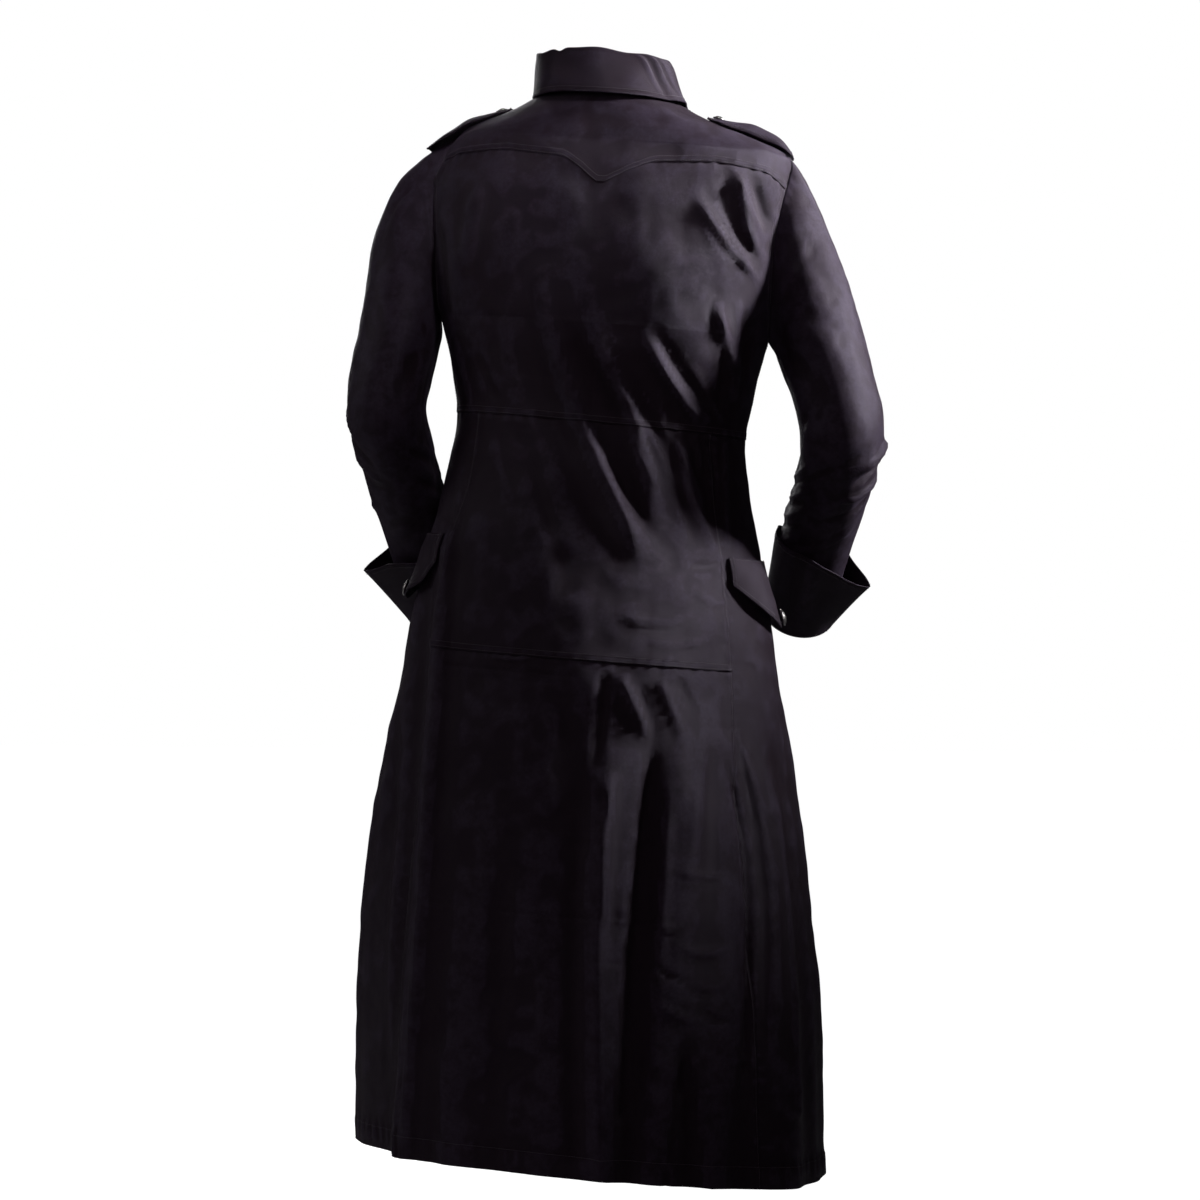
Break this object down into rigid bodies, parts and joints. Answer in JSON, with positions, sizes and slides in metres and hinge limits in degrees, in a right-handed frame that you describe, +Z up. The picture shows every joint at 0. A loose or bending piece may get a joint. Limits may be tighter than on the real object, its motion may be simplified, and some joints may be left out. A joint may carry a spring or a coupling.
{
  "type": "military coat",
  "caption": "Long black twill military coat in a worn pose with no wearer, with waist seam, shoulder straps, turned-back cuffs and pocket flaps",
  "frame": {"origin": "centre of the neck seam, where the wearer's neck and shoulders hold the coat up", "axes": "+Z up, the coat faces -Y, its left sleeve on +X"},
  "size_m": [0.6715, 0.4082, 1.3997],
  "materials": {
    "black_twill": "black cotton twill with a soft plum sheen, stitched seams",
    "silver_metal": "silver-coloured domed metal buttons, lightly worn"
  },
  "bodies": {
    "root": {"collar_stand": "black_twill", "collar_fall": "black_twill", "back_yoke": "black_twill", "back_bodice": "black_twill", "back_hip": "black_twill", "back_skirt": "black_twill", "front_bodice_left": "black_twill", "front_bodice_right": "black_twill", "side_skirt_left": "black_twill", "side_skirt_right": "black_twill", "front_skirt_left": "black_twill", "front_skirt_right": "black_twill", "front_placket": "black_twill", "sleeve_left": "black_twill", "sleeve_right": "black_twill", "cuff_left": "black_twill", "cuff_right": "black_twill", "shoulder_strap_left": "black_twill", "shoulder_strap_right": "black_twill", "pocket_flap_left": "black_twill", "pocket_flap_right": "black_twill", "strap_button_left": "silver_metal", "strap_button_right": "silver_metal", "flap_button_left": "silver_metal", "flap_button_right": "silver_metal", "front_button_1": "silver_metal", "front_button_2": "silver_metal", "front_button_3": "silver_metal", "front_button_4": "silver_metal", "front_button_5": "silver_metal", "front_button_6": "silver_metal"}
  },
  "joints": []
}
